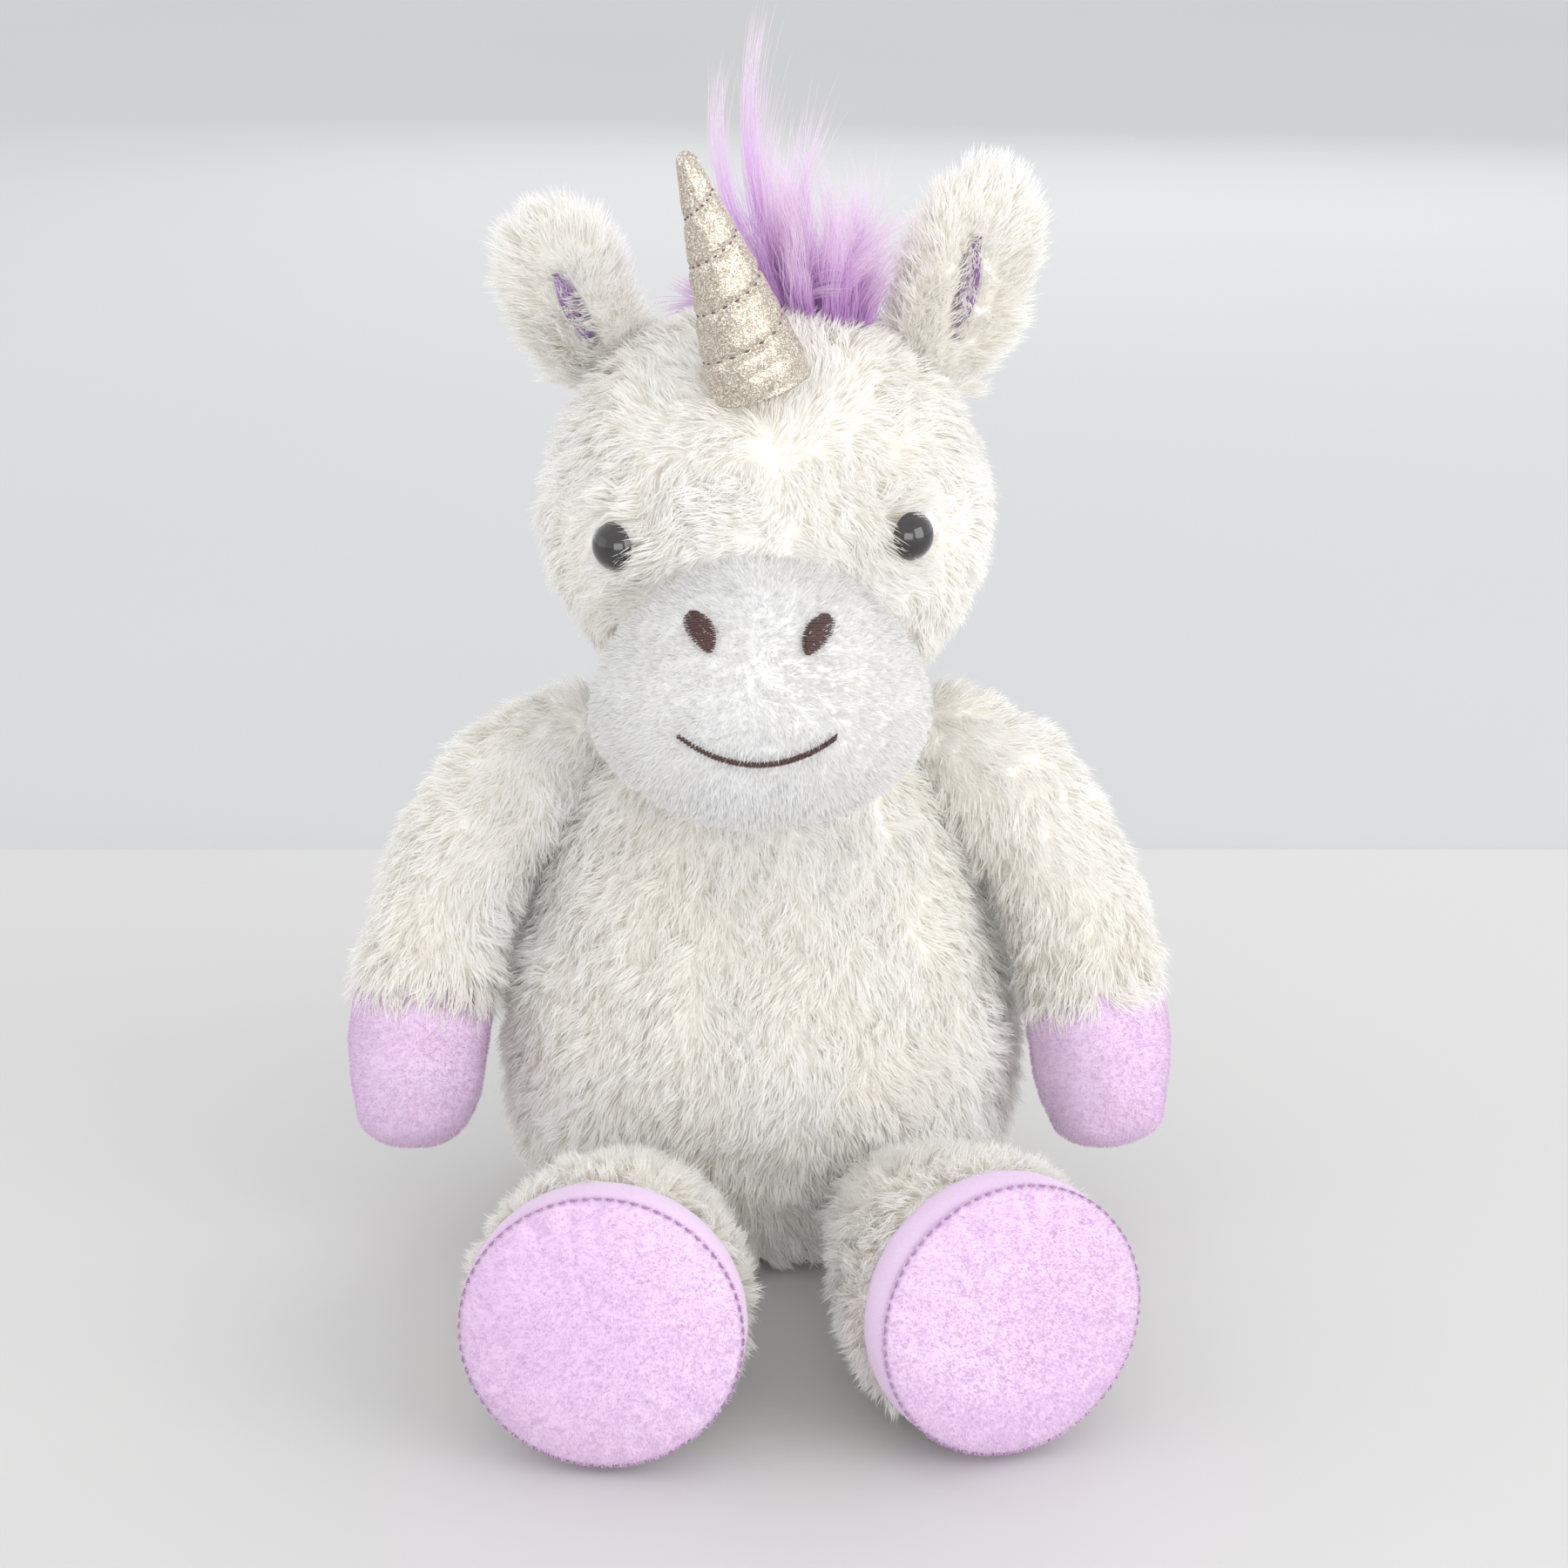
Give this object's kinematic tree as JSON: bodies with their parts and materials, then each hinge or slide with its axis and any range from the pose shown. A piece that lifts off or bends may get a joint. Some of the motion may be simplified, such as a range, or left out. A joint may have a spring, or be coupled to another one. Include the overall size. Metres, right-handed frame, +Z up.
{
  "type": "plush unicorn",
  "caption": "Seated stuffed unicorn in cream pile with a white muzzle, glitter horn, lavender mane, hooves and round soles; head, limbs, ears, horn and tail move.",
  "frame": {"origin": "middle of the flat patch under the body that the toy sits on", "axes": "+Z up, -Y the way the face looks, +X the unicorn's left"},
  "size_m": [0.2272, 0.2854, 0.3339],
  "materials": {
    "cream_pile": "long soft pile",
    "white_velour": "short velour pile",
    "lavender_velour": "short velour pile",
    "lavender_satin": "satin sheen",
    "lavender_pile": "long silky pile",
    "knit_backing": "knit",
    "gold_glitter": "glitter coated",
    "plum_thread": "matte thread",
    "lavender_thread": "matte thread",
    "brown_thread": "satin thread",
    "black_eye": "polished",
    "white_plastic": "matte",
    "polyester_fill": "loose fibre"
  },
  "bodies": {
    "torso": {"torso_back_panel": "cream_pile", "torso_front_panel": "cream_pile", "torso_stuffing": "polyester_fill"},
    "neck": {"neck_stuffing": "polyester_fill"},
    "head": {"head_gusset": "cream_pile", "head_left_panel": "cream_pile", "head_right_panel": "cream_pile", "head_stuffing": "polyester_fill", "left_eye": "black_eye", "left_eye_washer": "white_plastic", "left_nostril": "brown_thread", "mane_backing": "knit_backing", "mane_pile": "lavender_pile", "muzzle_panel": "white_velour", "right_eye": "black_eye", "right_eye_washer": "white_plastic", "right_nostril": "brown_thread", "smile_stitch": "brown_thread"},
    "horn": {"horn_cover": "gold_glitter", "horn_stuffing": "polyester_fill", "horn_thread": "plum_thread"},
    "left_ear": {"left_ear_lining": "lavender_satin", "left_ear_outer": "cream_pile"},
    "right_ear": {"right_ear_lining": "lavender_satin", "right_ear_outer": "cream_pile"},
    "left_arm": {"left_arm_sleeve": "cream_pile", "left_arm_stuffing": "polyester_fill", "left_hoof": "lavender_velour"},
    "right_arm": {"right_arm_sleeve": "cream_pile", "right_arm_stuffing": "polyester_fill", "right_hoof": "lavender_velour"},
    "left_leg": {"left_foot_band": "lavender_velour", "left_leg_sleeve": "cream_pile", "left_leg_stuffing": "polyester_fill", "left_sole": "lavender_velour", "left_sole_thread": "lavender_thread"},
    "right_leg": {"right_foot_band": "lavender_velour", "right_leg_sleeve": "cream_pile", "right_leg_stuffing": "polyester_fill", "right_sole": "lavender_velour", "right_sole_thread": "lavender_thread"},
    "tail": {"tail_pile": "lavender_pile", "tail_root": "knit_backing"}
  },
  "joints": [
    {"name": "neck_turn", "type": "hinge", "parent": "torso", "child": "neck", "pos_m": [0, -0.004, 0.16], "axis": [0, 0, 1], "range_deg": [-25, 25]},
    {"name": "neck_nod", "type": "hinge", "parent": "neck", "child": "head", "pos_m": [0, -0.004, 0.16], "axis": [1, 0, 0], "range_deg": [-12, 6]},
    {"name": "left_arm_swing", "type": "hinge", "parent": "torso", "child": "left_arm", "pos_m": [0.051, -0.004, 0.136], "axis": [-0.9578, -0.2873, 0], "range_deg": [0, 52]},
    {"name": "right_arm_swing", "type": "hinge", "parent": "torso", "child": "right_arm", "pos_m": [-0.051, -0.004, 0.136], "axis": [-0.9578, 0.2873, 0], "range_deg": [0, 52]},
    {"name": "left_leg_lift", "type": "hinge", "parent": "torso", "child": "left_leg", "pos_m": [0.035, -0.046, 0.0205], "axis": [-1, 0, 0], "range_deg": [0, 25]},
    {"name": "right_leg_lift", "type": "hinge", "parent": "torso", "child": "right_leg", "pos_m": [-0.034, -0.046, 0.0205], "axis": [-1, 0, 0], "range_deg": [0, 25]},
    {"name": "left_ear_flex", "type": "hinge", "parent": "head", "child": "left_ear", "pos_m": [0.048, 0.004, 0.242], "axis": [1, 0, 0], "range_deg": [-20, 20], "stiffness_Nm_per_rad": 0.05},
    {"name": "right_ear_flex", "type": "hinge", "parent": "head", "child": "right_ear", "pos_m": [-0.043, 0.004, 0.2425], "axis": [1, 0, 0], "range_deg": [-20, 20], "stiffness_Nm_per_rad": 0.05},
    {"name": "horn_tip_sideways", "type": "hinge", "parent": "head", "child": "horn", "pos_m": [-0.001, -0.042, 0.2505], "axis": [0, -1, 0], "range_deg": [-8, 8], "stiffness_Nm_per_rad": 0.08},
    {"name": "tail_swing", "type": "hinge", "parent": "torso", "child": "tail", "pos_m": [0, 0.07, 0.05], "axis": [0, 0, 1], "range_deg": [-30, 30]}
  ]
}
